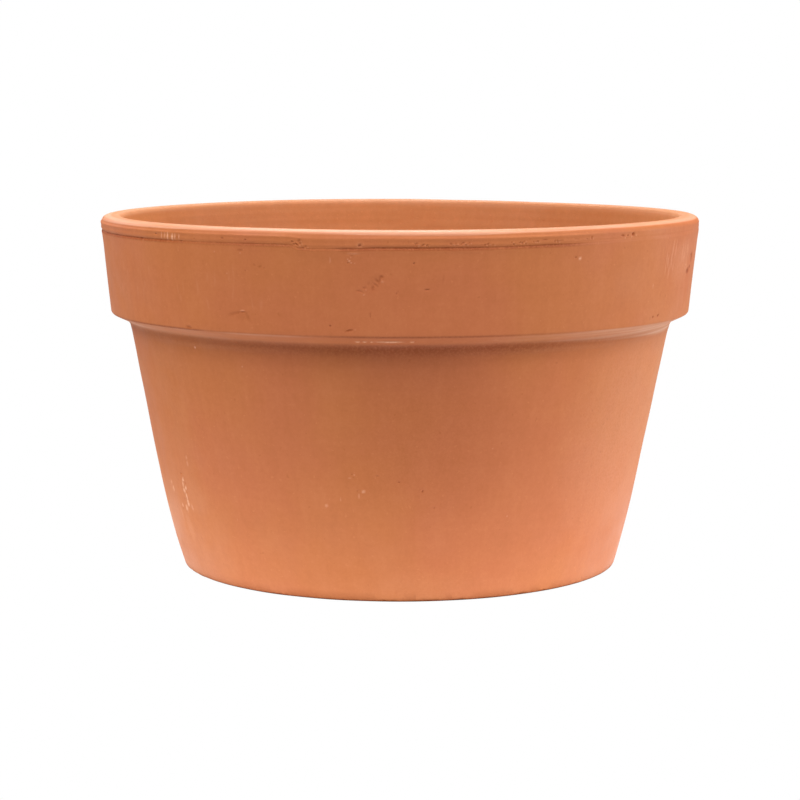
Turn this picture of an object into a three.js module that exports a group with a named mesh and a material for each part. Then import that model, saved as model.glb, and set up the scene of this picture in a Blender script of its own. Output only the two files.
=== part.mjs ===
// Terracotta pot: a wide, low planting pot with a tall collar, all one piece of fired clay.
//
// Frame: millimetres, +Z up. The origin is the centre of the underside, on the ground.
// The pot is a solid of revolution about +Z. Its wall section is drawn once, as a closed
// outline of (radius, height) points, and turned through a full circle.

import * as THREE from 'three';

// Whole pot
const HEIGHT = 147.4;
const RIM_RADIUS = 125;
const SEGMENTS = 96;
const CHORD_ERROR = 0.08;

// Lip: the smooth band at the top of the collar, a little proud of it, with both edges rounded
const LIP_THICKNESS = 8.8;
const LIP_OUTER_ROUND = 3;
const LIP_INNER_ROUND = 2.8;
const LIP_BAND_FOOT_HEIGHT = 141.2;
const LIP_STEP = 0.35;
const LIP_STEP_DROP = 0.4;

// Collar: the thick band below the lip, ending in a short sloping ledge above the body
const COLLAR_FOOT_RADIUS = 121.1;
const COLLAR_FOOT_HEIGHT = 106.9;
const COLLAR_FOOT_ROUND = 1.5;

// Body: a cone that draws in on a large arc near the ground
const BODY_TOP_RADIUS = 113.5;
const BODY_TOP_HEIGHT = 103.4;
const LEDGE_ROOT_ROUND = 4;
const BODY_TAPER_ANGLE = THREE.MathUtils.degToRad(11);
const FOOT_BEND_HEIGHT = 37;
const FOOT_BEND_RADIUS = 360;
const FOOT_EDGE_ROUND = 1.2;

// Inside: one cone from the lip down to a flat floor with a drain hole in its middle
const INNER_TAPER_ANGLE = THREE.MathUtils.degToRad(13.5);
const FLOOR_THICKNESS = 9.5;
const FLOOR_CORNER_ROUND = 10;
const DRAIN_RADIUS = 11;
const DRAIN_EDGE_ROUND = 1;

const CLAY_COLOUR = 0xbf7049;
const CLAY_ROUGHNESS = 0.85;

function point(radius, height) {
  return new THREE.Vector2(radius, height);
}

// How many straight steps an arc needs for its chords to stay within CHORD_ERROR of it.
function arcSteps(radius, sweep) {
  const stepAngle = 2 * Math.acos(1 - CHORD_ERROR / radius);
  return Math.ceil(Math.abs(sweep) / stepAngle);
}

// Points along the arc that rounds off a corner of the outline, tangent to both of its sides.
// The arc turns the same way as the corner does, through 180 degrees less the corner's angle.
function roundedCorner(before, corner, after, round) {
  const toBefore = before.clone().sub(corner).normalize();
  const toAfter = after.clone().sub(corner).normalize();
  const halfAngle = Math.acos(toBefore.dot(toAfter)) / 2;
  const tangentLength = round / Math.tan(halfAngle);
  const bisector = toBefore.clone().add(toAfter).normalize();
  const centre = corner.clone().addScaledVector(bisector, round / Math.sin(halfAngle));
  const start = corner.clone().addScaledVector(toBefore, tangentLength).sub(centre);
  const sweep = (Math.PI - 2 * halfAngle) * -Math.sign(toBefore.cross(toAfter));
  const steps = arcSteps(round, sweep);
  const points = [];
  for (let step = 0; step <= steps; step += 1) {
    points.push(start.clone().rotateAround(point(0, 0), (sweep * step) / steps).add(centre));
  }
  return points;
}

// The outline of the body's lowest part, from the ground up to where the cone starts.
function footBend() {
  const coneDrop = BODY_TOP_HEIGHT - FOOT_BEND_HEIGHT;
  const coneFoot = point(BODY_TOP_RADIUS - coneDrop * Math.tan(BODY_TAPER_ANGLE), FOOT_BEND_HEIGHT);
  const centre = point(
    coneFoot.x - FOOT_BEND_RADIUS * Math.cos(BODY_TAPER_ANGLE),
    coneFoot.y + FOOT_BEND_RADIUS * Math.sin(BODY_TAPER_ANGLE),
  );
  const groundAngle = Math.asin(centre.y / FOOT_BEND_RADIUS);
  const steps = arcSteps(FOOT_BEND_RADIUS, groundAngle - BODY_TAPER_ANGLE);
  const points = [];
  for (let step = 0; step <= steps; step += 1) {
    const angle = THREE.MathUtils.lerp(groundAngle, BODY_TAPER_ANGLE, step / steps);
    points.push(point(
      centre.x + FOOT_BEND_RADIUS * Math.cos(angle),
      centre.y - FOOT_BEND_RADIUS * Math.sin(angle),
    ));
  }
  return points;
}

// The wall section: out along the underside, up the outside, over the lip, down the inside,
// in along the floor and down through the drain hole.
function wallSection() {
  const [footCorner, ...bend] = footBend();
  const ledgeRoot = point(BODY_TOP_RADIUS, BODY_TOP_HEIGHT);
  const collarFoot = point(COLLAR_FOOT_RADIUS, COLLAR_FOOT_HEIGHT);
  const bandFoot = point(RIM_RADIUS, LIP_BAND_FOOT_HEIGHT);
  const collarTop = point(bandFoot.x - LIP_STEP, bandFoot.y - LIP_STEP_DROP);
  const lipOuter = point(RIM_RADIUS, HEIGHT);
  const lipInner = point(RIM_RADIUS - LIP_THICKNESS, HEIGHT);
  const innerDrop = (HEIGHT - FLOOR_THICKNESS) * Math.tan(INNER_TAPER_ANGLE);
  const floorCorner = point(lipInner.x - innerDrop, FLOOR_THICKNESS);
  const drainTop = point(DRAIN_RADIUS, FLOOR_THICKNESS);
  const drainFoot = point(DRAIN_RADIUS, 0);

  const outline = [
    ...roundedCorner(drainTop, drainFoot, footCorner, DRAIN_EDGE_ROUND),
    ...roundedCorner(drainFoot, footCorner, bend[0], FOOT_EDGE_ROUND),
    ...bend,
    ...roundedCorner(bend.at(-1), ledgeRoot, collarFoot, LEDGE_ROOT_ROUND),
    ...roundedCorner(ledgeRoot, collarFoot, collarTop, COLLAR_FOOT_ROUND),
    collarTop,
    bandFoot,
    ...roundedCorner(bandFoot, lipOuter, lipInner, LIP_OUTER_ROUND),
    ...roundedCorner(lipOuter, lipInner, floorCorner, LIP_INNER_ROUND),
    ...roundedCorner(lipInner, floorCorner, drainTop, FLOOR_CORNER_ROUND),
    ...roundedCorner(floorCorner, drainTop, drainFoot, DRAIN_EDGE_ROUND),
  ];
  outline.push(outline[0].clone());
  return outline;
}

function makePot() {
  const geometry = new THREE.LatheGeometry(wallSection(), SEGMENTS);
  geometry.rotateX(Math.PI / 2);
  const clay = new THREE.MeshStandardMaterial({
    color: CLAY_COLOUR,
    roughness: CLAY_ROUGHNESS,
    metalness: 0,
  });
  const pot = new THREE.Mesh(geometry, clay);
  pot.name = 'pot';
  return pot;
}

const terracottaPot = new THREE.Group();
terracottaPot.add(makePot());

export default terracottaPot;
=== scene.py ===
"""A wide, low terracotta pot in a white studio: the look of its fired clay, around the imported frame.

The scene is in metres, in the frame's own axes: +Z up, the underside on z = 0, the front towards -Y.
Only what is said to be in mm isn't.
An angle is measured round the pot, in degrees from the front, positive towards +X. A height is a z.
A place on the clay is an angle and a distance along the wall's section, and the fine shape is a push
along the clay's normal at each such place.
"""

import math
import random
from collections import namedtuple

import bmesh
import bpy
import numpy as np
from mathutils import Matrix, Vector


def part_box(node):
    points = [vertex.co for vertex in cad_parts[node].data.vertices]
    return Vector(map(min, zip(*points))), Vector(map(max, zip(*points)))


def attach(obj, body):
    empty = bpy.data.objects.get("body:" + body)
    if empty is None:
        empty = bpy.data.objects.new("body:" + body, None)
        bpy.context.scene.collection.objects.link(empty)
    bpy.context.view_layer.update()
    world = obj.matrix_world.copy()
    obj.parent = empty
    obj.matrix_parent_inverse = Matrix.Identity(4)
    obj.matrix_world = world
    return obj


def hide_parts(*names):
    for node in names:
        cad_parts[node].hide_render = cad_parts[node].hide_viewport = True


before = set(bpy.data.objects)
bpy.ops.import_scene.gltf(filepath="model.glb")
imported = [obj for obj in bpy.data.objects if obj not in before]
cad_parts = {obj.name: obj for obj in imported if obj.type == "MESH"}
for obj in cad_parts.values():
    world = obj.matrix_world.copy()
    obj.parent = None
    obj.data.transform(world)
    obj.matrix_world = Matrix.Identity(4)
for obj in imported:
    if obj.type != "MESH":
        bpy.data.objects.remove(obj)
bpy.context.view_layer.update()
pot_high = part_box("pot")[1]

MM = 0.001
SEED = 11

# The wall's section, as the frame has it
RIM_RADIUS = pot_high.x
HEIGHT = pot_high.z
LIP_THICKNESS = 8.8 * MM
LIP_OUTER_ROUND = 3.0 * MM
LIP_INNER_ROUND = 2.8 * MM
SEAM_HEIGHT = 141.0 * MM
BAND_FOOT_HEIGHT = 142.4 * MM
BAND_PROUD = 0.35 * MM
COLLAR_FOOT = np.array([121.1, 106.9]) * MM
COLLAR_FOOT_ROUND = 1.5 * MM
BODY_TOP = np.array([113.5, 103.4]) * MM
LEDGE_ROOT_ROUND = 4.0 * MM
BODY_TAPER = math.radians(11)
FOOT_BEND_HEIGHT = 37 * MM
FOOT_BEND_RADIUS = 360 * MM
FOOT_EDGE_ROUND = 1.2 * MM
INNER_TAPER = math.radians(13.5)
FLOOR_HEIGHT = 9.5 * MM
FLOOR_CORNER_ROUND = 10 * MM
DRAIN_RADIUS = 11 * MM
DRAIN_EDGE_ROUND = 1 * MM

# How closely the clay's surface is meshed, along its section
COLUMNS = 360
BODY_SPACING = 4.4 * MM
LEDGE_SPACING = 1.0 * MM
COLLAR_SPACING = 2.0 * MM
SEAM_SPACING = 0.24 * MM
BAND_SPACING = 0.5 * MM
LIP_TOP_SPACING = 0.8 * MM
TURNED_SPACING = 1.3 * MM
TURNED_DEPTH = 22 * MM
HIDDEN_SPACING = 8 * MM
CUTS_AT_MOST = 3
# How much of the stretch below the ledge and below the seam is meshed as finely as they are
FINE_SHARE = 0.05
# How long the edges near a mark may be, in mm, and how wide a mark may be for that to hold
CUT_SIZES = [(1.2, 6.0), (0.62, 2.0), (0.36, 1.2)]
EDGE_STEPS = 4
LIP_OUTER_STEPS = 13
LIP_INNER_STEPS = 6


# ---------------------------------------------------------------- the section

def arc_points(centre, radius, start, end, steps):
    angles = np.linspace(start, end, steps + 1)
    return [centre + radius * np.array([math.cos(a), math.sin(a)]) for a in angles]


def rounded(before, corner, after, radius, steps):
    """Points on the arc that rounds off a corner of the section, tangent to both of its sides."""
    to_before = (before - corner) / np.linalg.norm(before - corner)
    to_after = (after - corner) / np.linalg.norm(after - corner)
    half = math.acos(float(np.clip(to_before @ to_after, -1, 1))) / 2
    bisector = (to_before + to_after) / np.linalg.norm(to_before + to_after)
    centre = corner + bisector * radius / math.sin(half)
    start = corner + to_before * radius / math.tan(half) - centre
    turn = to_before[0] * to_after[1] - to_before[1] * to_after[0]
    sweep = (math.pi - 2 * half) * -math.copysign(1, turn)
    first = math.atan2(start[1], start[0])
    return arc_points(centre, radius, first, first + sweep, steps)


def foot_bend(steps):
    """The lowest part of the body's outline, from the ground up to where its cone starts."""
    drop = BODY_TOP[1] - FOOT_BEND_HEIGHT
    cone_foot = np.array([BODY_TOP[0] - drop * math.tan(BODY_TAPER), FOOT_BEND_HEIGHT])
    to_centre = np.array([-math.cos(BODY_TAPER), math.sin(BODY_TAPER)])
    centre = cone_foot + FOOT_BEND_RADIUS * to_centre
    ground = math.asin(centre[1] / FOOT_BEND_RADIUS)
    return arc_points(centre, FOOT_BEND_RADIUS, -ground, -BODY_TAPER, steps)


def filled(points, spacing):
    """The points, with more put between any two that are further apart than the spacing."""
    result = [points[0]]
    for before, after in zip(points[:-1], points[1:]):
        steps = max(1, round(float(np.linalg.norm(after - before)) / spacing))
        result += [before + (after - before) * k / steps for k in range(1, steps + 1)]
    return result


def wall_section():
    """Radius and height of each ring of the mesh, in order: out along the underside, up the outside,
    over the lip, down the inside, in along the floor and down through the drain hole to the start."""
    bend = foot_bend(9)
    foot = bend[0]
    seam = np.array([RIM_RADIUS - BAND_PROUD, SEAM_HEIGHT])
    band_foot = np.array([RIM_RADIUS, BAND_FOOT_HEIGHT])
    lip_outer = np.array([RIM_RADIUS, HEIGHT])
    lip_inner = np.array([RIM_RADIUS - LIP_THICKNESS, HEIGHT])
    inner_drop = (HEIGHT - FLOOR_HEIGHT) * math.tan(INNER_TAPER)
    floor_corner = np.array([lip_inner[0] - inner_drop, FLOOR_HEIGHT])
    drain_top = np.array([DRAIN_RADIUS, FLOOR_HEIGHT])
    drain_foot = np.array([DRAIN_RADIUS, 0.0])
    down_wall = (floor_corner - lip_inner) / np.linalg.norm(floor_corner - lip_inner)
    turned_end = lip_inner + down_wall * TURNED_DEPTH

    drain_foot_edge = rounded(drain_top, drain_foot, foot, DRAIN_EDGE_ROUND, EDGE_STEPS)
    foot_edge = rounded(drain_foot, foot, bend[1], FOOT_EDGE_ROUND, EDGE_STEPS + 1)
    ledge_root = rounded(bend[-1], BODY_TOP, COLLAR_FOOT, LEDGE_ROOT_ROUND, EDGE_STEPS + 2)
    collar_edge = rounded(BODY_TOP, COLLAR_FOOT, seam, COLLAR_FOOT_ROUND, EDGE_STEPS + 2)
    lip_outer_edge = rounded(band_foot, lip_outer, lip_inner, LIP_OUTER_ROUND, LIP_OUTER_STEPS)
    lip_inner_edge = rounded(lip_outer, lip_inner, floor_corner, LIP_INNER_ROUND, LIP_INNER_STEPS)
    floor_edge = rounded(lip_inner, floor_corner, drain_top, FLOOR_CORNER_ROUND, 2 * EDGE_STEPS)
    drain_top_edge = rounded(floor_corner, drain_top, drain_foot, DRAIN_EDGE_ROUND, EDGE_STEPS)

    below_ledge = ledge_root[0] + (bend[-1] - ledge_root[0]) * FINE_SHARE
    below_seam = seam + (collar_edge[-1] - seam) * FINE_SHARE
    stretches = [
        (drain_foot_edge, HIDDEN_SPACING),
        ([drain_foot_edge[-1], foot_edge[0]], HIDDEN_SPACING),
        (foot_edge, BODY_SPACING),
        ([foot_edge[-1], *bend[1:], below_ledge], BODY_SPACING),
        ([below_ledge, ledge_root[0]], LEDGE_SPACING),
        (ledge_root, COLLAR_SPACING),
        ([ledge_root[-1], collar_edge[0]], COLLAR_SPACING),
        (collar_edge, COLLAR_SPACING),
        ([collar_edge[-1], below_seam], COLLAR_SPACING),
        ([below_seam, seam, band_foot], SEAM_SPACING),
        ([band_foot, lip_outer_edge[0]], BAND_SPACING),
        (lip_outer_edge, BAND_SPACING),
        ([lip_outer_edge[-1], lip_inner_edge[0]], LIP_TOP_SPACING),
        (lip_inner_edge, BAND_SPACING),
        ([lip_inner_edge[-1], turned_end], TURNED_SPACING),
        ([turned_end, floor_edge[0]], HIDDEN_SPACING),
        (floor_edge, HIDDEN_SPACING),
        ([floor_edge[-1], drain_top_edge[0]], HIDDEN_SPACING),
        (drain_top_edge, HIDDEN_SPACING),
        ([drain_top_edge[-1], drain_foot_edge[0]], HIDDEN_SPACING),
    ]
    rings = [drain_foot_edge[0]]
    for points, spacing in stretches:
        rings += filled(points, spacing)[1:]
    return np.array(rings)


def ring_normals(rings):
    """The way out of the clay at each ring, as a step in radius and a step in height."""
    loop = rings[:-1]
    onward = np.roll(loop, -1, axis=0) - np.roll(loop, 1, axis=0)
    onward /= np.linalg.norm(onward, axis=1)[:, None]
    outward = np.stack([onward[:, 1], -onward[:, 0]], axis=1)
    return np.vstack([outward, outward[:1]])


RINGS = wall_section()
RING_ALONG = np.concatenate([[0.0], np.cumsum(np.linalg.norm(np.diff(RINGS, axis=0), axis=1))])
RING_NORMALS = ring_normals(RINGS)
# The rings where the outside starts, where it ends, which is the third one on the lip's flat top, and
# where the floor and the drain hole start
FOOT_RING = int(np.argmax(RINGS[:, 0] >= foot_bend(1)[0][0] - FOOT_EDGE_ROUND / 2))
LIP_RING = int(np.flatnonzero(RINGS[:, 1] > HEIGHT - 0.01 * MM)[2])
FLOOR_RING = LIP_RING + int(np.argmax(RINGS[LIP_RING:, 1] < FLOOR_HEIGHT + 0.5 * MM))
DRAIN_RING = LIP_RING + int(np.argmax(RINGS[LIP_RING:, 0] < DRAIN_RADIUS + DRAIN_EDGE_ROUND / 2))


def along_at(height):
    """How far along the section the outside is at a height."""
    outside = slice(FOOT_RING, LIP_RING + 1)
    return float(np.interp(height, RINGS[outside, 1], RING_ALONG[outside]))


# ---------------------------------------------------------------- marks on the clay

Mark = namedtuple("Mark", "angle height long wide tilt push pale stain", defaults=(0, 0, 0, 0))
# angle and height: the middle of the mark, in degrees and mm
# long and wide: its size along and across its own length, in mm
# tilt: how far its length is turned up from level, in degrees
# push: how far it stands out of the clay, in mm, or is sunk into it where it is negative
# the last two: how light and how dark its colour is, from 0 to 1; on some marks partly painted light and
# shade

# How deep a pit and a torn crumb are, as a share of their size, and how dark a crumb is
PIT_DEPTH = 0.4
CRUMB_DEPTH = 0.28
CRUMB_STAIN = 0.38
# How deep a scrape is and how far a speck stands out, in mm
SCRAPE_DEPTH = 0.15
SPECK_RELIEF = 0.1
# A drop of the dribble fades towards its edge, so it is made longer and wider than it looks.
# A wholly pale one stands out by the relief, in mm.
DROP_LONGER = 1.3
DROP_WIDER = 2.2
DROP_RELIEF = 0.2
# How many pits and specks lie round the back, and how many chips along the foot
BACK_MARKS = 70
FOOT_CHIPS = 26


def pit(angle, height, size, tilt=0, stretch=1.0, stain=0.6):
    return Mark(angle, height, size * stretch, size, tilt, -PIT_DEPTH * size, 0, stain)


def scrape(angle, height, length, width, tilt, stain):
    return Mark(angle, height, length, width, tilt, -SCRAPE_DEPTH, 0, stain)


def speck(angle, height, size, pale=0.9):
    return Mark(angle, height, size, size, 0, SPECK_RELIEF, pale, 0)


def streak(angle, height, length, pale, width=0.7, tilt=90):
    return Mark(angle, height, length, width, tilt, 0, pale, 0)


def crumbs(draw, angle, height, count):
    """A little patch of torn clay, where the trimming tool dragged a grain of sand."""
    marks = []
    for _ in range(count):
        place = (angle + draw.uniform(-0.9, 0.9), height + draw.uniform(-0.5, 0.5))
        size = draw.uniform(0.55, 1.0)
        tilt = draw.uniform(0, 60)
        length = size * draw.uniform(1.0, 2.0)
        marks.append(Mark(*place, length, size, tilt, -CRUMB_DEPTH * size, 0, CRUMB_STAIN))
        marks.append(speck(place[0] + 0.4, place[1] - 0.3, 0.6, 0.3))
    return marks


def lip_marks(draw):
    scuff = [
        streak(-47.6, 142.9, 3.8, 0.6, 0.7, 84), streak(-46.7, 143.0, 3.2, 0.4, 1.1, 84),
        streak(-45.9, 142.8, 4.2, 1.0, 1.0, 84), streak(-44.6, 142.6, 3.8, 0.9, 1.4, 86),
        streak(-43.9, 142.8, 3.4, 0.55, 0.9, 84), streak(-42.8, 142.8, 3.0, 0.5, 0.9, 84),
        pit(-42.3, 141.0, 1.0, 0, 1.4), pit(-49.3, 143.4, 0.9, 30, 1.6), pit(-39.0, 142.3, 0.8),
    ]
    torn = [
        (-54.1, 141.0, 2), (-16.7, 143.4, 3), (-16.4, 141.8, 2), (3.1, 142.2, 3), (4.8, 142.6, 2),
        (9.4, 142.9, 3), (11.0, 142.7, 4), (15.4, 142.5, 3), (20.3, 142.4, 4), (22.2, 142.6, 4),
        (23.6, 142.5, 3), (27.7, 142.4, 3), (35.4, 142.9, 2),
    ]
    patches = [mark for angle, height, count in torn for mark in crumbs(draw, angle, height, count)]
    dragged = [
        Mark(25.8, 143.3, 3.4, 0.5, 4, -0.2, 0, 0.5), Mark(28.9, 142.7, 4.0, 0.5, 3, -0.15, 0, 0.4),
        Mark(32.3, 142.9, 3.4, 0.5, -5, -0.15, 0, 0.35), Mark(34.6, 142.8, 1.4, 0.6, -20, -0.15, 0, 0.4),
        Mark(43.3, 143.0, 2.8, 1.0, -6, -0.35, 0, 0.9), pit(44.6, 142.9, 1.0),
        pit(46.1, 143.3, 1.8, 20, 1.2, 1.0), speck(43.9, 142.0, 1.0, 0.25),
        speck(45.6, 142.2, 1.0, 0.25), speck(46.9, 142.6, 0.9, 0.2),
    ]
    crack = [
        Mark(-18.8, 142.7, 1.4, 0.8, 10, -0.35, 0, 0.9),
        Mark(-18.0, 142.4, 1.8, 0.8, -25, -0.35, 0, 0.9),
        Mark(-18.5, 141.9, 1.3, 0.7, 30, -0.25, 0, 0.6), speck(-17.4, 142.0, 0.8, 0.35),
    ]
    single = [
        # A dark pit in a slightly raised ring, whose paleness is partly a painted highlight
        pit(-6.9, 142.4, 1.4, 0, 1.1, 1.0), Mark(-6.9, 142.4, 3.0, 2.8, 0, 0.08, 0.12, 0),
        pit(-32.6, 142.9, 0.8, 0, 2.0, 0.5), pit(-27.8, 142.6, 0.9, 0, 1.3, 0.8),
        pit(-43.3, 142.6, 0.7, 0, 1.4, 0.5),
    ]
    return scuff + patches + dragged + crack + single


def collar_marks():
    right_edge = [
        scrape(73.7, 131.2, 5.4, 4.6, 90, 0.7), scrape(73.2, 132.3, 4.4, 1.6, 0, 1.0),
        scrape(72.9, 127.3, 4.4, 1.9, 0, 0.9), Mark(71.3, 125.8, 6.6, 2.8, 0, -0.3, 0, 1.0),
        speck(69.2, 128.6, 1.4, 0.5), pit(55.3, 109.8, 1.1, 70, 1.2),
        pit(57.2, 110.1, 1.0, 35, 2.4, 0.7),
    ]
    scratches = [
        scrape(-3.2, 130.0, 1.9, 1.5, 10, 0.65), scrape(-3.9, 128.3, 4.2, 1.3, -50, 0.45),
        scrape(-3.5, 128.8, 3.0, 1.1, 76, 0.45), scrape(-4.2, 126.9, 3.2, 1.2, -38, 0.35),
        scrape(-4.7, 125.8, 2.6, 1.5, 84, 0.6), scrape(-5.5, 127.2, 1.9, 1.3, 90, 0.22),
        scrape(-6.2, 125.8, 1.7, 1.2, 0, 0.2), scrape(-7.0, 124.5, 3.4, 1.2, -15, 0.22),
        speck(-3.0, 128.2, 1.4, 0.2), speck(-6.3, 123.2, 0.8, 0.3), speck(-5.9, 125.0, 0.7, 0.2),
        Mark(-4.6, 127.3, 10.0, 6.0, 52, -0.08, 0, 0.12),
    ]
    small = [
        scrape(-25.2, 133.0, 2.0, 1.3, 20, 0.45), scrape(-26.3, 133.5, 1.8, 1.2, -30, 0.28),
        scrape(-24.4, 132.4, 1.2, 1.0, 80, 0.2), pit(-28.2, 131.2, 0.7, 90, 1.4, 0.3),
        scrape(-29.0, 138.6, 3.2, 1.1, 0, 0.42), speck(-29.0, 137.6, 0.9, 0.2),
        speck(-32.1, 129.9, 0.7, 0.3), pit(-12.4, 111.3, 0.9),
        scrape(-9.0, 109.6, 3.6, 1.2, 16, 0.8), speck(-7.9, 110.0, 0.8, 0.2),
        pit(4.7, 125.1, 0.7, 4, 3.6, 0.25), pit(2.4, 135.0, 0.8, 80, 1.5, 0.2),
        pit(-0.6, 123.7, 0.6, 90, 2.2, 0.2), Mark(7.5, 129.0, 5.0, 1.2, 85, -0.05, 0, 0.18),
        pit(-5.2, 115.4, 0.6, 88, 5.0, 0.15), pit(-42.2, 107.9, 1.3, -8, 3.2, 0.6),
        streak(54.1, 122.4, 2.6, 0.35, 0.7),
    ]
    # A shallow dent: the raised pale dash along its top is a painted highlight, and its dark scrapes are
    # partly painted shade
    dent = [
        Mark(-29.3, 115.9, 2.8, 0.7, 2, 0.1, 0.45, 0), scrape(-29.2, 115.4, 2.8, 0.9, 2, 0.6),
        scrape(-30.3, 114.9, 3.0, 1.3, 22, 0.36), scrape(-31.2, 114.5, 6.5, 1.8, 14, 0.3),
        scrape(-28.3, 113.7, 5.0, 2.0, 118, 0.32), Mark(-29.4, 113.9, 6.5, 4.0, 0, 0, 0, 0.15),
    ]
    specks = [
        speck(-8.7, 136.1, 1.1, 0.6), speck(-8.4, 135.3, 0.8, 0.4), speck(-8.5, 137.6, 0.7, 0.35),
        speck(-9.0, 136.9, 0.7, 0.45), speck(-7.8, 135.1, 0.7, 0.2),
        pit(-9.0, 135.2, 0.6, 90, 1.6, 0.3), pit(-8.3, 138.4, 0.6, 0, 1.0, 0.3),
        streak(-12.1, 136.4, 3.6, 0.25, 0.7), Mark(-8.0, 139.4, 6.0, 1.2, 0, 0.04, 0.18, 0),
        # A bright speck, and to its left a pit whose darkness is partly the speck's painted shadow
        speck(33.4, 135.4, 1.3, 1.0), pit(32.4, 135.9, 0.8, 0, 1.5, 0.3), speck(-34.5, 137.8, 0.7, 0.35),
    ]
    return right_edge + scratches + small + dent + specks


def ledge_marks():
    # A thin raised burr under the collar, wholly pale, partly as its painted highlight
    burr = [(-7.8, 2.2), (-6.5, 1.6), (-5.2, 1.2), (-1.9, 13.0), (2.3, 1.8)]
    marks = [Mark(angle, 105.0, length, 1.6, 0, 0.35, 1.0, 0) for angle, length in burr]
    marks += [Mark(18.0, 105.2, 4.0, 0.7, 0, 0.1, 0.3, 0), Mark(31.0, 104.8, 7.0, 0.8, 0, 0.1, 0.2, 0)]
    return marks


def body_marks():
    dribble = [
        (-59.2, 42.1, 1.1, 1.0, 90, 1.0), (-59.7, 40.2, 2.6, 0.9, 86, 0.6),
        (-58.5, 38.9, 1.7, 0.8, 70, 0.9), (-59.6, 37.6, 2.2, 1.0, -62, 0.8),
        (-58.9, 35.3, 2.6, 0.7, 94, 0.9), (-58.8, 32.6, 2.8, 1.0, 100, 0.9),
        (-62.5, 30.7, 1.2, 0.9, 0, 0.6), (-60.3, 30.0, 2.6, 1.0, 110, 0.7),
        (-57.1, 31.1, 3.0, 0.8, 112, 0.3), (-67.4, 39.1, 1.8, 1.0, 108, 0.5),
        (-66.6, 36.6, 2.2, 1.0, 112, 0.7), (-55.4, 52.2, 1.6, 0.8, 90, 0.3),
        (-55.4, 49.8, 2.4, 0.8, 94, 0.3),
    ]
    marks = []
    for angle, height, long, wide, tilt, pale in dribble:
        length = DROP_LONGER * long
        marks.append(Mark(angle, height, length, DROP_WIDER * wide, tilt, DROP_RELIEF * pale, pale, 0))
    beside_dribble = [
        pit(-59.7, 44.6, 0.9, 10, 1.6, 0.2), pit(-58.2, 40.9, 0.8, 90, 1.2, 0.4),
        pit(-58.4, 37.0, 0.7, 90, 1.0, 0.4), Mark(-61.0, 22.0, 16.0, 6.0, 100, 0, 0.10, 0),
        Mark(-64.5, 27.0, 9.0, 3.0, 95, 0, 0.10, 0),
    ]
    single = [
        speck(-7.6, 45.5, 1.7, 0.6), streak(-8.6, 43.6, 2.6, 0.3, 0.8), speck(-9.5, 52.1, 0.9, 0.35),
        streak(-10.5, 50.8, 1.8, 0.25, 0.6, 0), pit(-10.0, 52.3, 0.6), pit(-9.7, 51.2, 0.5),
        pit(-8.9, 45.6, 0.6, 60, 1.6, 0.3), pit(0.1, 49.3, 0.9, 0, 1.2, 0.25),
        pit(5.2, 45.7, 1.1, 0, 1.0, 0.15), pit(7.8, 38.9, 0.7, 90, 1.4, 0.3),
        streak(-12.7, 42.1, 2.0, 0.25, 0.7), pit(-4.5, 51.7, 0.7, 0, 1.8, 0.25),
        speck(-45.3, 98.9, 1.2, 1.0), speck(-16.0, 39.3, 1.6, 0.45), speck(25.0, 34.0, 0.9, 0.3),
        speck(41.0, 38.0, 0.8, 0.3), speck(-33.0, 93.0, 0.8, 0.35), speck(20.0, 62.0, 0.8, 0.25),
        speck(-40.0, 30.0, 0.8, 0.2),
    ]
    return marks + beside_dribble + single


def firing_and_painted_light_patches():
    """Wide, soft patches, darker or paler. They stand for uneven firing, and are partly painted shade,
    on the body's front and the foot's sides, and painted light, on the right side and at the foot, which
    brings the body's brightness nearer to the photograph's."""
    return [
        Mark(6, 66.0, 84.0, 76.0, 90, 0, 0, 0.17),
        Mark(10, 88.0, 60.0, 22.0, 0, 0, 0, 0.05),
        Mark(-84, 0.0, 130.0, 52.0, 0, 0, 0.035, 0.36),
        Mark(80, 0.0, 130.0, 76.0, 0, 0, 0.17, 0.36),
        Mark(64, 66.0, 120.0, 108.0, 90, 0, 0.17, 0),
        Mark(7, 3.0, 90.0, 24.0, 0, 0, 0.05, 0),
    ]


def rubbed_streaks(draw):
    """Faint upright rubs on the collar, as from other pots, and one wide pale patch like the body's."""
    regions = [
        (58, 71, 127, 137, 26, 0.25), (66, 78, 128, 138, 8, 0.12), (-66, -24, 117, 130, 22, 0.06),
        (128, 170, 116, 138, 18, 0.2),
    ]
    marks = [Mark(57.1, 136.4, 4.5, 0.9, 90, 0, 0, 0.22), Mark(66.0, 129.5, 22.0, 26.0, 88, 0, 0.13, 0)]
    for first, last, low, high, count, pale in regions:
        for _ in range(count):
            angle = draw.uniform(first, last)
            height = draw.uniform(low, high)
            length = draw.uniform(3, 9)
            width = draw.uniform(0.8, 1.8)
            marks.append(streak(angle, height, length, pale, width, 90 + draw.gauss(0, 5)))
    return marks


def scattered(draw):
    """Pits and specks round the back, which has no marks of its own, and chips all round the foot."""
    marks = []
    for _ in range(BACK_MARKS):
        angle = draw.uniform(82, 275)
        angle -= 360 if angle > 180 else 0
        if abs(angle) > 177:
            continue
        height = draw.choice([draw.uniform(3, 100), draw.uniform(109, 139), draw.uniform(142.5, 143.8)])
        size = draw.uniform(0.7, 1.4)
        if draw.random() < 0.6:
            marks.append(pit(angle, height, size, draw.uniform(0, 180), draw.uniform(1, 2)))
        else:
            marks.append(speck(angle, height, size, draw.uniform(0.4, 0.9)))
    for _ in range(FOOT_CHIPS):
        angle = draw.uniform(-176, 176)
        length = draw.uniform(2.0, 4.5)
        height = draw.uniform(0.2, 1.0)
        marks.append(Mark(angle, height, length, length / 2, 0, draw.uniform(-0.25, -0.1)))
    return marks


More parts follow.
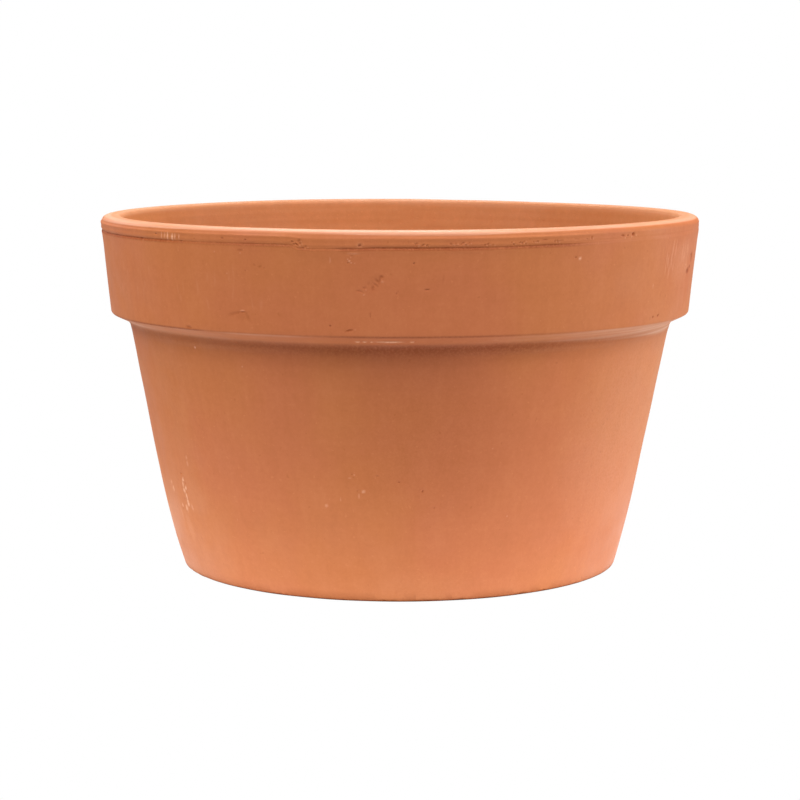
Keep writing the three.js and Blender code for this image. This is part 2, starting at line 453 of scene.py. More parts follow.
def all_marks():
    draw = random.Random(SEED)
    marks = lip_marks(draw) + collar_marks() + ledge_marks() + body_marks() + firing_and_painted_light_patches()
    return marks + rubbed_streaks(draw) + scattered(draw)


# ---------------------------------------------------------------- the fine shape

# How far the lip's band stands back from where it was drawn, in mm, which leaves room for its unevenness
BAND_SUNK = 0.21

# Each of these lists runs round the pot: an angle and what holds there, eased from one to the next.
# How far the seam is above or below its drawn height, in mm
SEAM_WAVE = [
    (-180, 0.2), (-130, 0.4), (-75, 0.1), (-60, 0.1), (-40, 0.2), (-30, 0.4), (-19.4, 0.45),
    (-17.4, -0.8), (-15, -0.95), (-8, -0.75), (-4, -0.4), (3, -0.4), (15, -0.4), (27, -0.1),
    (45, 0.4), (90, 0.5), (130, -0.1), (160, 0.3), (180, 0.2),
]
# How deep the seam is, as a share of its profile
SEAM_DEPTH = [
    (-180, 0.6), (-150, 0.9), (-95, 1.0), (-62, 1.1), (-47, 1.0), (-42, 0.5), (-24, 0.7), (-19.4, 0.7),
    (-18.4, 0.3), (-17, 0.55), (-14, 0.3), (-11.5, 0.4), (-9, 0.8), (5, 1.0), (18, 0.8), (28, 1.1),
    (37, 0.15), (55, 0.0), (80, 0.05), (95, 0.6), (140, 0.8), (165, 0.3), (180, 0.6),
]
# Where the lip's step is rubbed level with the collar
STEP_RUBBED = [
    (-180, 0.0), (-30, 0.0), (-17, 0.5), (-10, 0.0), (26, 0.0), (40, 1.0), (80, 1.0), (98, 0.0),
    (180, 0.0),
]
# How far the top of the lip is below its drawn height, in mm
RIM_DROP = [
    (-180, 0.1), (-160, 0.0), (-120, 0.2), (-60, 0.2), (-30, 0.15), (12, 0.25), (50, 0.1), (90, 0.35),
    (146, 0.7), (165, 0.45), (180, 0.1),
]
# How strong the ridge above the seam is, as a share of its profile
RIDGE_STRENGTH = [
    (-180, 0.5), (-110, 0.9), (-60, 1.0), (-30, 0.7), (-10, 0.6), (10, 1.0), (28, 1.0), (42, 0.3),
    (70, 0.1), (110, 0.7), (150, 0.3), (180, 0.5),
]
# How pale the lip's outer rounding is, rubbed and with a painted highlight, and the height in mm that
# this starts from
LIP_RUBBED_AND_HIGHLIT = [(-180, 0.2), (-110, 0.28), (-60, 0.34), (0, 0.34), (40, 0.3), (100, 0.25), (180, 0.2)]
LIP_RUBBED_AND_HIGHLIT_FROM = [
    (-180, 145.8), (-60, 145.8), (-24, 146.2), (-12, 145.9), (-2, 145.4), (10, 145.4), (24, 146.1),
    (36, 146.4), (60, 146.4), (180, 145.8),
]
# How far the clay swells out under the ledge, in mm
LEDGE_SWELL = [
    (-180, 0.2), (-110, 0.1), (-88, 0.05), (-70, 0.25), (-45, 0.7), (-25, 0.5), (-10, 0.1), (5, 0.1),
    (20, 0.7), (42, 1.0), (58, 0.8), (74, 0.4), (90, 0.12), (115, 0.08), (180, 0.2),
]
# How pale the slope under the collar is, as painted sheen, and the height in mm that this starts from
LEDGE_SHEEN = [
    (-180, 0.1), (-110, 0.2), (-75, 0.34), (-50, 0.10), (-25, 0.03), (-12, 0.0), (10, 0.0), (25, 0.08),
    (45, 0.26), (65, 0.5), (90, 0.45), (130, 0.2), (180, 0.1),
]
LEDGE_SHEEN_FROM = [(-180, 103.4), (20, 103.2), (50, 101.6), (70, 100.8), (100, 102.0), (180, 103.4)]
# How dark the corner under the collar is painted, as painted shade
CORNER_SHADE = [
    (-180, 0.3), (-90, 0.1), (-40, 0.2), (-20, 0.42), (-5, 0.55), (22, 0.55), (42, 0.25), (90, 0.0),
    (180, 0.3),
]
# How pale the collar's lowest edge is, as a thin painted highlight
COLLAR_EDGE_HIGHLIGHT = [
    (-180, 0.0), (-80, 0.0), (-70, 0.2), (-55, 0.0), (-38, 0.0), (-31, 0.2), (-22, 0.16), (-14, 0.0),
    (30, 0.0), (45, 0.25), (70, 0.4), (95, 0.0), (180, 0.0),
]
# How dark the collar's lowest edge is painted, as a thin line of painted shade under it
COLLAR_EDGE_SHADE = [
    (-180, 0.3), (-110, 0.1), (-72, 0.3), (-55, 0.5), (-41, 0.55), (-37, 0.1), (-28, 0.0), (-14, 0.1),
    (-7, 0.5), (12, 0.45), (24, 0.2), (38, 0.0), (90, 0.1), (140, 0.3), (180, 0.3),
]
# How dark the seam at its full depth and the foot's bottom edge are: painted shade and a painted contact
# shadow
SEAM_SHADE = 0.75
FOOT_CONTACT_SHADOW = 0.8
# How far the wall and the band are uneven, how deep the tool's rings inside are, and how far the foot's
# edge is chipped away, all in mm
WALL_UNEVENNESS = 0.16
WALL_RIPPLE = 0.05
BAND_UNEVENNESS = 0.04
TURNED_RING_DEPTH = 0.08
FOOT_CHIPPING = 0.08
# How far apart the tool's rings are, and how far they climb in a radian round the pot
TURNED_PITCH = 3.9 * MM
TURNED_BROAD_PITCH = 9.1 * MM
TURNED_CLIMB = 0.35 * MM

# The heights where something starts, is full, begins to fade and has gone
TURNED_HEIGHTS = (0.010, 0.018, HEIGHT - 4 * MM, HEIGHT)
LEVELLED_HEIGHTS = (0.128, SEAM_HEIGHT, SEAM_HEIGHT, BAND_FOOT_HEIGHT)
SWOLLEN_HEIGHTS = (98.5 * MM, 101.5 * MM, 102.4 * MM, 105.0 * MM)
WAVY_HEIGHTS = (0.134, SEAM_HEIGHT - MM, 0.1428, 0.1462)
COLLAR_EDGE_HIGHLIGHT_HEIGHTS = (106.0 * MM, 106.6 * MM, 106.8 * MM, 107.3 * MM)
COLLAR_EDGE_SHADE_HEIGHTS = (106.5 * MM, 106.9 * MM, 107.2 * MM, 107.7 * MM)
# The same for the seam's painted shade, as distances up the wall from the seam, in mm
SEAM_SHADE_SPREAD = (-1.4, -0.1, 0.15, 0.55)
# Between these heights the band's own unevenness takes over from the wall's
WALL_ENDS = (0.136, 0.1405)
BAND_STARTS = (0.1405, 0.142)
# How pale the lip's inside is, rubbed and with a painted highlight, and the heights between which this
# grows to be so
INSIDE_LIP_RUBBED_AND_HIGHLIT = 0.10
INSIDE_LIP_HEIGHTS = (144.4 * MM, 146.4 * MM)
# The wall's lean fades out between these radii, towards the drain hole
LEAN_RADII = (0.02, 0.09)

# A distance up the wall from the seam, and how far the clay stands out there, both in mm
SEAM_PROFILE = [
    (-6.0, 0.0), (-2.6, 0.0), (-1.9, -0.06), (-1.4, 0.0), (-0.5, 0.0), (-0.25, -0.06), (0.0, -0.34),
    (0.3, -0.26), (0.6, -0.05), (0.9, 0.02), (1.6, 0.0), (6.0, 0.0),
]
# A height near the lip's outer rounding, and how far the clay stands out there, both in mm
RIDGE_PROFILE = [
    (142.6, 0.0), (143.5, 0.0), (143.9, 0.1), (144.35, 0.22), (144.75, 0.17), (145.1, -0.05),
    (145.4, -0.14), (145.9, -0.04), (146.5, 0.0),
]
# A height, and how far the wall leans over to the right there, both in mm
WALL_SHIFT = [(0, -0.2), (15, -0.45), (45, -0.58), (75, -0.27), (107, -0.05), (140, 0.0)]


def eased(anchors, places):
    """What holds at the places, eased from one anchor to the next."""
    at, value = np.array(anchors, float).T
    low = np.clip(np.searchsorted(at, places, side="right") - 1, 0, len(at) - 2)
    share = np.clip((places - at[low]) / (at[low + 1] - at[low]), 0, 1)
    return value[low] + (value[low + 1] - value[low]) * share * share * (3 - 2 * share)


def rise(places, start, end):
    """0 up to the start and 1 from the end on, eased between the two."""
    share = np.clip((places - start) / (end - start), 0, 1)
    return share * share * (3 - 2 * share)


def within(places, start, full, fading, end):
    """0 up to the start, 1 from full to fading, and 0 again from the end on, eased in between."""
    return rise(places, start, full) * (1 - rise(places, fading, end))


def waves(angle, along, seed, turns, pitches, count):
    """Soft unevenness between -1 and 1: seeded waves that meet themselves after a turn round the pot."""
    draw = random.Random(seed)
    total = np.zeros_like(angle)
    for _ in range(count):
        round_pot = draw.randint(*turns) * draw.choice((-1, 1))
        up_wall = 2 * math.pi / draw.uniform(*pitches)
        total += np.sin(np.radians(angle) * round_pot + along * up_wall + draw.uniform(0, 2 * math.pi))
    return total / count


# How far a mark may reach round the pot, against its reach at the body's top: the foot is narrower
NARROWER_BELOW = 1.7


def close_by(mark, angle, along, margin=0.0):
    """Which of the places a mark may reach, at most a margin in mm away from it."""
    reach = (max(mark.long, mark.wide) / 2 + margin) * MM
    sideways = math.degrees(reach / BODY_TOP[0]) * NARROWER_BELOW
    beside = np.abs(angle - mark.angle) < sideways
    return np.flatnonzero(beside & (np.abs(along - along_at(mark.height * MM)) < reach))


def oval(mark, angle, along):
    """How far each place is into a mark: 1 at its middle, 0 at its edge and beyond."""
    across = np.radians(angle - mark.angle) * np.interp(along, RING_ALONG, RINGS[:, 0])
    up = along - along_at(mark.height * MM)
    tilt = math.radians(mark.tilt)
    lengthwise = (across * math.cos(tilt) + up * math.sin(tilt)) / (mark.long * MM / 2)
    sideways = (up * math.cos(tilt) - across * math.sin(tilt)) / (mark.wide * MM / 2)
    return np.clip(1 - lengthwise ** 2 - sideways ** 2, 0, 1)


def turning_rings(angle, along, height, outside):
    """How far the rings that the potter's tool left inside the wall stand out, in mm."""
    inside = np.where(outside, 0.0, within(height, *TURNED_HEIGHTS))
    spiral = along + np.radians(angle) * TURNED_CLIMB
    rings = np.sin(2 * math.pi * spiral / TURNED_PITCH)
    rings += 0.6 * np.sin(2 * math.pi * spiral / TURNED_BROAD_PITCH + 1.0)
    strength = 0.7 + 0.3 * waves(angle, along, SEED + 5, (1, 4), (0.02, 0.06), 4)
    return TURNED_RING_DEPTH * inside * rings * strength


def clay_push(angle, along, height, outside, marks):
    """How far the clay stands out at each place, in mm."""
    seam_along = along_at(SEAM_HEIGHT)
    seam = eased(SEAM_PROFILE, (along - seam_along) / MM) * eased(SEAM_DEPTH, angle)
    ragged = 1 + 0.35 * waves(angle, along, SEED + 1, (30, 90), (0.01, 0.05), 6)
    ridge = eased(RIDGE_PROFILE, height / MM) * eased(RIDGE_STRENGTH, angle)
    below_band = within(height, *LEVELLED_HEIGHTS)
    level = eased(STEP_RUBBED, angle) * below_band * (BAND_PROUD / MM - BAND_SUNK)
    swell = within(height, *SWOLLEN_HEIGHTS) * eased(LEDGE_SWELL, angle)
    push = np.where(outside, (seam + ridge) * ragged + level + swell, 0.0)
    below_lip = 1 - rise(height, *WALL_ENDS)
    push += WALL_UNEVENNESS * below_lip * (waves(angle, along, SEED + 2, (2, 7), (0.05, 0.15), 7) - 0.6)
    push += WALL_RIPPLE * below_lip * waves(angle, along, SEED + 3, (8, 26), (0.012, 0.05), 9)
    band = outside * rise(height, *BAND_STARTS)
    band_waves = waves(angle, along, SEED + 4, (14, 60), (0.004, 0.02), 8)
    push -= band * (BAND_SUNK + BAND_UNEVENNESS * band_waves)
    push += turning_rings(angle, along, height, outside)
    for mark in marks:
        near = close_by(mark, angle, along)
        push[near] += mark.push * outside[near] * oval(mark, angle[near], along[near]) ** 1.5
    foot = 1 - rise(height, 0.0, 1.5 * MM)
    chips = 1 + waves(angle, along, SEED + 6, (20, 70), (0.01, 0.05), 6)
    return push - foot * outside * FOOT_CHIPPING * chips


def paint(name, angle, along, marks):
    """For the named amount, pale or dark, how much the marks give each place, from 0 to 1; the dark is
    stains and painted shade.
    """
    amount = np.zeros_like(angle)
    for mark in marks:
        near = close_by(mark, angle, along)
        strength = getattr(mark, name) * oval(mark, angle[near], along[near])
        amount[near] = np.maximum(amount[near], strength)
    return amount


def rubbed_and_highlit_edges(angle, height, outside):
    """How pale the lip's roundings, the slope under the collar and its lowest edge are, from 0 to 1:
    rubbing and a painted highlight on the lip, painted sheen on the slope and a painted highlight on the
    edge.
    """
    lip_foot = eased(LIP_RUBBED_AND_HIGHLIT_FROM, angle) * MM
    lip = rise(height, lip_foot, lip_foot + 0.5 * MM) * eased(LIP_RUBBED_AND_HIGHLIT, angle)
    ledge_foot = eased(LEDGE_SHEEN_FROM, angle) * MM
    ledge = within(height, ledge_foot, ledge_foot + MM, 106.2 * MM, 107.0 * MM)
    edge = within(height, *COLLAR_EDGE_HIGHLIGHT_HEIGHTS)
    inside_lip = INSIDE_LIP_RUBBED_AND_HIGHLIT * rise(height, *INSIDE_LIP_HEIGHTS)
    rubbed_and_highlit = np.maximum(ledge * eased(LEDGE_SHEEN, angle), edge * eased(COLLAR_EDGE_HIGHLIGHT, angle))
    return np.where(outside, np.maximum(lip, rubbed_and_highlit), inside_lip)


def shaded_corners(angle, along, height, outside):
    """How dark the seam, the corner under the collar, the collar's lowest edge and the foot's bottom
    edge are
    painted, from 0 to 1: painted shade, and a painted contact shadow along the foot.
    """
    above_seam = (along - along_at(SEAM_HEIGHT)) / MM
    seam = within(above_seam, *SEAM_SHADE_SPREAD)
    # The corner's painted shade thickens slowly up the body, and ends sharply under the ledge
    corner = rise(height, 92 * MM, 102 * MM) ** 3 * (1 - rise(height, 102.6 * MM, 104.4 * MM))
    edge = within(height, *COLLAR_EDGE_SHADE_HEIGHTS)
    # A painted contact shadow along the foot's bottom edge
    foot = 1 - rise(height, 0.2 * MM, 1.3 * MM)
    painted_shade = (
        SEAM_SHADE * seam * np.clip(eased(SEAM_DEPTH, angle), 0, 1),
        corner * eased(CORNER_SHADE, angle),
        edge * eased(COLLAR_EDGE_SHADE, angle),
        FOOT_CONTACT_SHADOW * foot,
    )
    return outside * np.maximum.reduce(painted_shade)


# ---------------------------------------------------------------- the mesh

def clay_laid_flat():
    """A closed grid whose points hold an angle as x and a distance along the section as y."""
    rows = len(RINGS) - 1
    row, column = np.meshgrid(np.arange(rows), np.arange(COLUMNS), indexing="ij")
    points = np.stack([column * 360 / COLUMNS - 180, RING_ALONG[row], np.zeros(row.shape)], axis=-1)
    next_row = (row + 1) % rows
    next_column = (column + 1) % COLUMNS
    corners = [(row, column), (row, next_column), (next_row, next_column), (next_row, column)]
    quads = np.stack([r * COLUMNS + c for r, c in corners], axis=-1)
    mesh = bpy.data.meshes.new("terracotta_pot")
    mesh.from_pydata(points.reshape(-1, 3).tolist(), [], quads.reshape(-1, 4).tolist())
    return mesh


def read_all(items, name, kind=int, size=1):
    values = np.zeros(len(items) * size, kind)
    items.foreach_get(name, values)
    return values.reshape(-1, size) if size > 1 else values


# How far, in mm, the middle of a face may be from a mark that still reaches into the face
FACE_MARGIN = 5


def long_edges_near(mesh, marks, finest):
    """Which edges of the faces near the marks are longer than the finest."""
    place = read_all(mesh.vertices, "co", float, 3)[:, :2]
    corner = place[read_all(mesh.loops, "vertex_index")]
    start = read_all(mesh.polygons, "loop_start")
    low = np.minimum.reduceat(corner, start)
    high = np.maximum.reduceat(corner, start)
    middle = (low + high) / 2
    # A face across the layout's edge has corners at both its ends, and asks for no cut
    in_one_piece = np.all(high - low < (90, RING_ALONG[-1] / 2), axis=1)
    near = np.zeros(len(start), bool)
    for mark in marks:
        grown = mark._replace(long=mark.long + 2 * finest, wide=mark.wide + 2 * finest)
        faces = close_by(mark, *middle.T, FACE_MARGIN)
        nearest = np.clip((mark.angle, along_at(mark.height * MM)), low[faces], high[faces])
        near[faces] |= (oval(grown, *nearest.T) > 0) | (oval(grown, *middle[faces].T) > 0)
    near_corners = np.repeat(near & in_one_piece, read_all(mesh.polygons, "loop_total"))
    edges = np.unique(read_all(mesh.loops, "edge_index")[near_corners])
    step = np.diff(place[read_all(mesh.edges, "vertices", int, 2)[edges]], axis=1)[:, 0]
    across = np.radians(step[:, 0]) * RIM_RADIUS
    return edges[np.hypot(across, step[:, 1]) > finest * MM]


def cut_finer(mesh, marks, finest):
    """Cuts the edges near the marks in two, again and again, until none is longer than the finest."""
    for _ in range(CUTS_AT_MOST):
        edges = long_edges_near(mesh, marks, finest)
        clay = bmesh.new()
        clay.from_mesh(mesh)
        clay.edges.ensure_lookup_table()
        bmesh.ops.subdivide_edges(clay, edges=[clay.edges[k] for k in edges], cuts=1, use_grid_fill=True)
        clay.to_mesh(mesh)
        clay.free()


def place_points(mesh, marks):
    """Moves the flat points to their places on the pot, and returns their angles and distances along."""
    angle, along = read_all(mesh.vertices, "co", float, 3)[:, :2].T
    radius = np.interp(along, RING_ALONG, RINGS[:, 0])
    height = np.interp(along, RING_ALONG, RINGS[:, 1])
    out_radius = np.interp(along, RING_ALONG, RING_NORMALS[:, 0])
    out_height = np.interp(along, RING_ALONG, RING_NORMALS[:, 1])
    outside = (along > RING_ALONG[FOOT_RING]) & (along < RING_ALONG[LIP_RING])

    push = clay_push(angle, along, height, outside, marks) * MM
    painted_shade = shaded_corners(angle, along, height, outside)
    # Colours laid on the clay: pale marks, some painted light; stains and painted shade; rubbing with
    # painted highlights and sheen; the inside
    shades = {
        "pale": paint("pale", angle, along, marks),
        "stain": np.maximum(paint("stain", angle, along, marks), painted_shade),
        "rubbed_and_highlit": rubbed_and_highlit_edges(angle, height, outside),
        "inside": 1.0 - outside,
    }
    for name, amount in shades.items():
        mesh.attributes.new(name, "FLOAT", "POINT").data.foreach_set("value", amount)

    near_seam = within(height, *WAVY_HEIGHTS) * outside
    lift = eased(SEAM_WAVE, angle) * near_seam * MM
    drop = eased(RIM_DROP, angle) * rise(height, BAND_STARTS[0], HEIGHT) * MM
    final_radius = radius + push * out_radius
    final_height = np.clip(height + push * out_height + lift - drop, 0, HEIGHT)
    turn = np.radians(angle)
    shift = eased(WALL_SHIFT, height / MM) * MM * rise(radius, *LEAN_RADII)
    x = final_radius * np.sin(turn) + shift
    y = -final_radius * np.cos(turn)
    mesh.vertices.foreach_set("co", np.stack([x, y, final_height], axis=-1).ravel())
    return angle, along


def layout_corners(mesh, angle, along):
    """The angle and distance along at each face corner, without a jump inside a face."""
    corner_point = read_all(mesh.loops, "vertex_index")
    start = read_all(mesh.polygons, "loop_start")
    size = read_all(mesh.polygons, "loop_total")
    unjumped = []
    for values, whole in ((angle, 360.0), (along, RING_ALONG[-1])):
        values = values[corner_point]
        low = np.repeat(np.minimum.reduceat(values, start), size)
        high = np.repeat(np.maximum.reduceat(values, start), size)
        values = np.where((high - low > whole / 2) & (values < low + whole / 2), values + whole, values)
        middle = np.repeat(np.add.reduceat(values, start) / size, size)
        unjumped += [values, middle]
    return unjumped


# The baking layout: the gap between its parts, and how much of its height each part takes
CHART_GAP = 0.008
OUTSIDE_CHART = 0.28
INSIDE_CHART = 0.17
DISK_CHART = 0.22
DRAIN_CHART = 0.03


def lay_out_for_baking(mesh, angle, along):
    """A layout with the outside as two half turns, the inside as one strip, and two disks."""
    angle, middle_angle, along, middle_along = layout_corners(mesh, angle, along)
    radius = np.interp(along % RING_ALONG[-1], RING_ALONG, RINGS[:, 0])
    turn = np.radians(angle)
    foot, lip, floor, drain = RING_ALONG[[FOOT_RING, LIP_RING, FLOOR_RING, DRAIN_RING]]
    front_row = CHART_GAP
    back_row = front_row + OUTSIDE_CHART + CHART_GAP
    inside_row = back_row + OUTSIDE_CHART + CHART_GAP
    disk_row = inside_row + INSIDE_CHART + CHART_GAP

    def strip(first, degrees, bottom, tall, start, end):
        u = CHART_GAP + (1 - 2 * CHART_GAP) * (angle - first) / degrees
        return np.stack([u, bottom + tall * (along - start) / (end - start)], axis=-1)

    def disk(left, widest):
        reach = DISK_CHART / 2 * radius / widest
        middle = (left + DISK_CHART / 2, disk_row + DISK_CHART / 2)
        return np.stack([middle[0] + reach * np.sin(turn), middle[1] + reach * np.cos(turn)], axis=-1)

    front = (middle_angle > -90) & (middle_angle < 90)
    right_back = middle_angle >= 90
    outside = (middle_along > foot) & (middle_along < lip)
    uv = strip(-180, 540, disk_row, DRAIN_CHART, 0, RING_ALONG[-1])
    uv[:, 0] = uv[:, 0] / 2 + 0.5
    inside = (middle_along >= lip) & (middle_along < floor)
    charts = [
        (outside & front, strip(-90, 180, front_row, OUTSIDE_CHART, foot, lip)),
        (outside & right_back, strip(90, 180, back_row, OUTSIDE_CHART, foot, lip)),
        (outside & ~front & ~right_back, strip(-270, 180, back_row, OUTSIDE_CHART, foot, lip)),
        (inside, strip(-180, 360, inside_row, INSIDE_CHART, lip, floor)),
        ((middle_along >= floor) & (middle_along < drain), disk(CHART_GAP, RINGS[FLOOR_RING, 0])),
        (middle_along <= foot, disk(2 * CHART_GAP + DISK_CHART, RINGS[FOOT_RING, 0])),
    ]
    for where, layout in charts:
        uv[where] = layout[where]
    mesh.uv_layers.new(name="OFBake").data.foreach_set("uv", uv.ravel())


def make_pot():
    marks = all_marks()
    mesh = clay_laid_flat()
    for finest, widest in CUT_SIZES:
        cut_finer(mesh, [mark for mark in marks if mark.wide <= widest], finest)
    angle, along = place_points(mesh, marks)
    lay_out_for_baking(mesh, angle, along)
    mesh.shade_smooth()
    pot = bpy.data.objects.new("terracotta_pot", mesh)
    bpy.context.scene.collection.objects.link(pot)
    return pot


# ---------------------------------------------------------------- materials

class Nodes:
    """A material's or a world's node tree, with short ways to add to it."""

    def __init__(self, owner):
        owner.use_nodes = True
        self.tree = owner.node_tree
        self.tree.nodes.clear()

    def add(self, kind, **settings):
        node = self.tree.nodes.new("ShaderNode" + kind)
        for name, value in settings.items():
            setattr(node, name, value)
        return node

    def feed(self, socket, source):
        if isinstance(source, bpy.types.NodeSocket):
            self.tree.links.new(source, socket)
        else:
            socket.default_value = source

    def math(self, operation, first, second=0.0, third=0.0):
        node = self.add("Math", operation=operation)
        for socket, source in zip(node.inputs, (first, second, third)):
            self.feed(socket, source)
        return node.outputs[0]

    def noise(self, place, scale, detail=2.0, roughness=0.5):
        node = self.add("TexNoise")
        self.feed(node.inputs["Vector"], place)
        node.inputs["Scale"].default_value = scale
        node.inputs["Detail"].default_value = detail
        node.inputs["Roughness"].default_value = roughness
        return node.outputs["Fac"]

    def stretched(self, place, x, y, z):
        node = self.add("VectorMath", operation="MULTIPLY")
        self.feed(node.inputs[0], place)
        node.inputs[1].default_value = (x, y, z)
        return node.outputs["Vector"]

    def ramp(self, source, low, high, start=0.0, end=1.0):
        node = self.add("MapRange", interpolation_type="SMOOTHSTEP")
        for name, value in (("From Min", low), ("From Max", high), ("To Min", start), ("To Max", end)):
            node.inputs[name].default_value = value
        self.feed(node.inputs["Value"], source)
        return node.outputs["Result"]

    def mix(self, share, first, second):
        node = self.add("Mix", data_type="RGBA")
        colours = [socket for socket in node.inputs if socket.type == "RGBA"]
        self.feed(node.inputs["Factor"], share)
        self.feed(colours[0], first)
        self.feed(colours[1], second)
        return [socket for socket in node.outputs if socket.type == "RGBA"][0]

    def attribute(self, name):
        return self.add("Attribute", attribute_name=name).outputs["Fac"]


CLAY_WARM = (0.599, 0.192, 0.060, 1)
CLAY_PINK = (0.597, 0.182, 0.067, 1)
CLAY_INSIDE = (0.543, 0.200, 0.066, 1)
CLAY_DEEP = (0.490, 0.139, 0.040, 1)
CLAY_LIGHT = (0.692, 0.251, 0.094, 1)
# Rubbed clay, and also the colour of painted highlights and sheen on the lip and under the collar
RUBBED_AND_HIGHLIT_CLAY = (0.880, 0.570, 0.410, 1)
# Pale dust, and also the colour of painted light on the wide patches and of small painted highlights
PALE_DUST_AND_SHEEN = (0.940, 0.545, 0.345, 1)
# Stains, and also the colour of painted shade in the seam and corners, along the foot and on the wide
# patches
DARK_STAIN_AND_SHADE = (0.300, 0.045, 0.001, 1)


def clay_colour(nodes, place):
    """Fired clay: slow clouds of warmer and pinker clay, mottling, grain, sand, dust, stains, and
    painted light and shade.
    """
    clouds = nodes.ramp(nodes.noise(place, 14, 3), 0.38, 0.62)
    mottle = nodes.noise(place, 75, 4, 0.6)
    patches = nodes.noise(place, 420, 3, 0.65)
    grain = nodes.noise(place, 900, 3, 0.6)
    upright = nodes.noise(nodes.stretched(place, 260, 260, 26), 1, 3, 0.6)
    level = nodes.noise(nodes.stretched(place, 12, 12, 420), 1, 2)
    sand = nodes.ramp(nodes.noise(place, 700, 1), 0.70, 0.78)
    motes = nodes.ramp(nodes.noise(place, 430, 1), 0.26, 0.20)

    colour = nodes.mix(clouds, CLAY_WARM, CLAY_PINK)
    colour = nodes.mix(nodes.attribute("inside"), colour, CLAY_INSIDE)
    patterns = [(mottle, 0.55), (patches, 0.58), (grain, 0.40), (upright, 0.46), (level, 0.20)]
    shade = 0.0
    for pattern, amount in patterns:
        shade = nodes.math("MULTIPLY_ADD", pattern, amount, nodes.math("ADD", shade, -amount / 2))
    colour = nodes.mix(nodes.math("MAXIMUM", shade, 0.0), colour, CLAY_LIGHT)
    depth = nodes.math("MULTIPLY", shade, -1.0)
    colour = nodes.mix(nodes.math("MAXIMUM", depth, 0.0), colour, CLAY_DEEP)
    colour = nodes.mix(nodes.math("MULTIPLY", sand, 0.35), colour, CLAY_LIGHT)
    colour = nodes.mix(nodes.math("MULTIPLY", motes, 0.45), colour, CLAY_DEEP)

    lines = nodes.ramp(nodes.noise(nodes.stretched(place, 14, 14, 1300), 1, 3), 0.30, 0.70, 0.35, 1.35)
    # Rubbing, painted highlights and painted sheen on the lip's roundings and under the collar
    colour = nodes.mix(nodes.math("MULTIPLY", nodes.attribute("rubbed_and_highlit"), lines), colour, RUBBED_AND_HIGHLIT_CLAY)
    broken = nodes.ramp(nodes.noise(place, 1100, 3, 0.7), 0.30, 0.62, 0.45, 1.0)
    # Pale marks, some of them painted light, then stains and painted shade
    colour = nodes.mix(nodes.math("MULTIPLY", nodes.attribute("pale"), broken), colour, PALE_DUST_AND_SHEEN)
    return nodes.mix(nodes.math("MULTIPLY", nodes.attribute("stain"), broken), colour, DARK_STAIN_AND_SHADE)


def clay_bump(nodes, place):
    """Grain and pinholes, far finer than the mesh."""
    grain = nodes.noise(place, 1300, 4, 0.65)
    turned = nodes.noise(nodes.stretched(place, 8, 8, 900), 1, 3)
    pinholes = nodes.ramp(nodes.noise(place, 620, 1), 0.30, 0.20, 0.0, -1.0)
    relief = nodes.math("MULTIPLY_ADD", turned, 0.5, grain)
    relief = nodes.math("ADD", relief, pinholes)
    bump = nodes.add("Bump")
    bump.inputs["Strength"].default_value = 0.35
    bump.inputs["Distance"].default_value = 0.08 * MM
    nodes.feed(bump.inputs["Height"], relief)
    return bump.outputs["Normal"]


def terracotta():
    material = bpy.data.materials.new("terracotta")
    nodes = Nodes(material)
    place = nodes.add("TexCoord").outputs["Object"]
    shader = nodes.add("BsdfPrincipled")
    nodes.feed(shader.inputs["Base Color"], clay_colour(nodes, place))
    nodes.feed(shader.inputs["Normal"], clay_bump(nodes, place))
    dry = nodes.noise(place, 60, 3)
    nodes.feed(shader.inputs["Roughness"], nodes.ramp(dry, 0.3, 0.7, 0.52, 0.66))
    shader.inputs["Diffuse Roughness"].default_value = 0.6
    shader.inputs["IOR"].default_value = 1.33
    output = nodes.add("OutputMaterial")
    nodes.feed(output.inputs["Surface"], shader.outputs[0])
    return material


# ---------------------------------------------------------------- studio

FLOOR_SIZE = 6.0
FLOOR_STEPS = 64
FLOOR_DROP = 0.05 * MM
# How strongly the floor lights the pot from close by and from further out, and the distances from the
# pot's axis between which one turns into the other
FLOOR_GLOW_NEAR = 1.76
FLOOR_GLOW_FAR = 0.60
FLOOR_FALL = (0.150, 0.190)
# The distances between which the floor's light grows from none, under the foot, to all of it
CONTACT_SHADE = (0.0905, 0.0940)

# Each softbox: the way to it round the pot and up from the ground, in degrees, and how bright it is
SOFTBOXES = {
    "left": (-60, 42, 10.8),
    "left_top": (-30, 64, 5.2),
    "left_back": (-140, 24, 2.15),
    "front": (0, 42, 3.55),
    "right": (60, 42, 9.85),
    "right_low": (80, 8, 4.7),
    "right_back": (100, 8, 4.8),
    "back": (180, 42, 4.0),
    "back_top": (180, 64, 13.0),
}
SOFTBOX_DISTANCE = 1.6
SOFTBOX_SIZE = 0.75
SOFTBOX_AIM = (0.0, 0.0, 0.08)

# The photograph's point of view
CAMERA_PLACE = (0.0, -1.0282, 0.2023)
CAMERA_PITCH = math.radians(7.45)
FOCAL_LENGTH = 109.93
SENSOR_WIDTH = 36.0


def make_room():
    """Plain white all round where the camera looks. It lights nothing: the softboxes and floor do."""
    world = bpy.data.worlds.new("studio")
    bpy.context.scene.world = world
    nodes = Nodes(world)
    background = nodes.add("Background")
    nodes.feed(background.inputs["Color"], (1, 1, 1, 1))
    nodes.feed(background.inputs["Strength"], nodes.add("LightPath").outputs["Is Camera Ray"])
    nodes.feed(nodes.add("OutputWorld").inputs["Surface"], background.outputs[0])


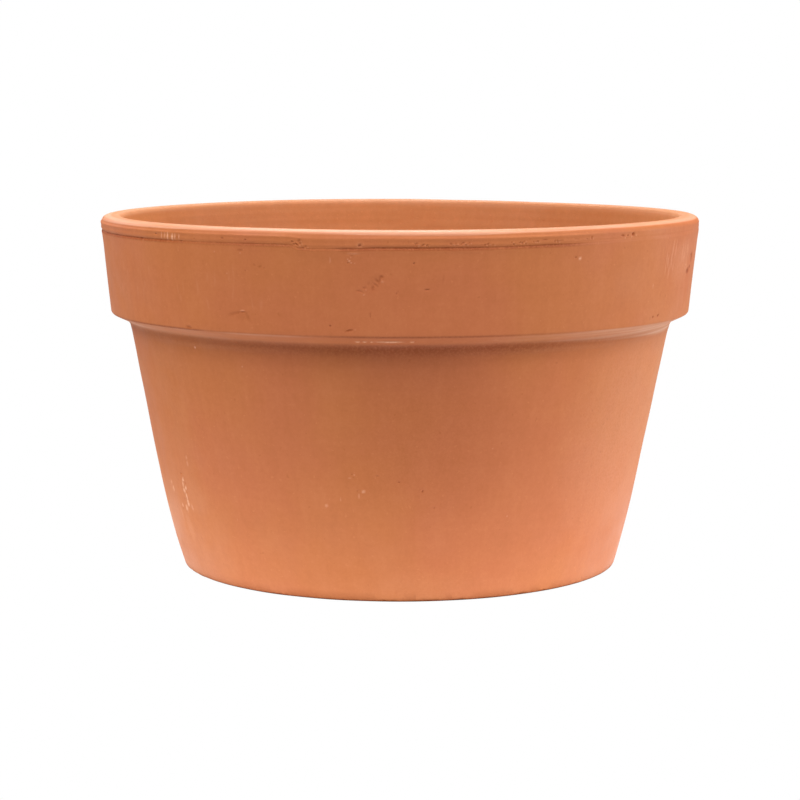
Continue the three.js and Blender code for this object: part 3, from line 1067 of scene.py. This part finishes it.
def floor_material():
    """A table that looks plain white to the camera, and lights the pot from all round its foot."""
    material = bpy.data.materials.new("white_floor")
    nodes = Nodes(material)
    place = nodes.add("TexCoord").outputs["Object"]
    distance = nodes.add("VectorMath", operation="LENGTH")
    nodes.feed(distance.inputs[0], place)
    glow = nodes.ramp(distance.outputs["Value"], *FLOOR_FALL, FLOOR_GLOW_NEAR, FLOOR_GLOW_FAR)
    glow = nodes.math("MULTIPLY", glow, nodes.ramp(distance.outputs["Value"], *CONTACT_SHADE))
    seen = nodes.add("LightPath").outputs["Is Camera Ray"]
    strength = nodes.math("MULTIPLY_ADD", seen, nodes.math("SUBTRACT", 1.0, glow), glow)
    emission = nodes.add("Emission")
    nodes.feed(emission.inputs["Strength"], strength)
    nodes.feed(nodes.add("OutputMaterial").inputs["Surface"], emission.outputs[0])
    return material


def make_floor():
    mesh = bpy.data.meshes.new("studio_floor")
    turns = [2 * math.pi * k / FLOOR_STEPS for k in range(FLOOR_STEPS)]
    edge = [(FLOOR_SIZE * math.cos(t), FLOOR_SIZE * math.sin(t), -FLOOR_DROP) for t in turns]
    mesh.from_pydata(edge, [], [tuple(range(FLOOR_STEPS))])
    mesh.materials.append(floor_material())
    floor = bpy.data.objects.new("studio_floor", mesh)
    bpy.context.scene.collection.objects.link(floor)


def aim(obj, target):
    direction = Vector(target) - obj.location
    obj.rotation_euler = direction.to_track_quat("-Z", "Y").to_euler()


def make_softboxes():
    for name, (turn, rise_angle, glow) in SOFTBOXES.items():
        light = bpy.data.lights.new(name, "AREA")
        light.shape = "DISK"
        light.size = SOFTBOX_SIZE
        # The energy that makes a disk of this size shine as brightly as the table says
        light.energy = glow * (math.pi * SOFTBOX_SIZE / 2) ** 2
        softbox = bpy.data.objects.new(name, light)
        level = SOFTBOX_DISTANCE * math.cos(math.radians(rise_angle))
        x = level * math.sin(math.radians(turn))
        y = -level * math.cos(math.radians(turn))
        z = SOFTBOX_AIM[2] + SOFTBOX_DISTANCE * math.sin(math.radians(rise_angle))
        softbox.location = (x, y, z)
        aim(softbox, SOFTBOX_AIM)
        softbox.visible_camera = False
        bpy.context.scene.collection.objects.link(softbox)


def make_camera():
    lens = bpy.data.cameras.new("camera")
    lens.lens = FOCAL_LENGTH
    lens.sensor_width = SENSOR_WIDTH
    lens.clip_start = 0.01
    camera = bpy.data.objects.new("camera", lens)
    camera.location = CAMERA_PLACE
    camera.rotation_euler = (math.pi / 2 - CAMERA_PITCH, 0, 0)
    bpy.context.scene.collection.objects.link(camera)
    bpy.context.scene.camera = camera


pot = make_pot()
pot.data.materials.append(terracotta())
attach(pot, "root")
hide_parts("pot")

make_floor()
make_room()
make_softboxes()
make_camera()
bpy.context.scene.view_settings.view_transform = "Standard"
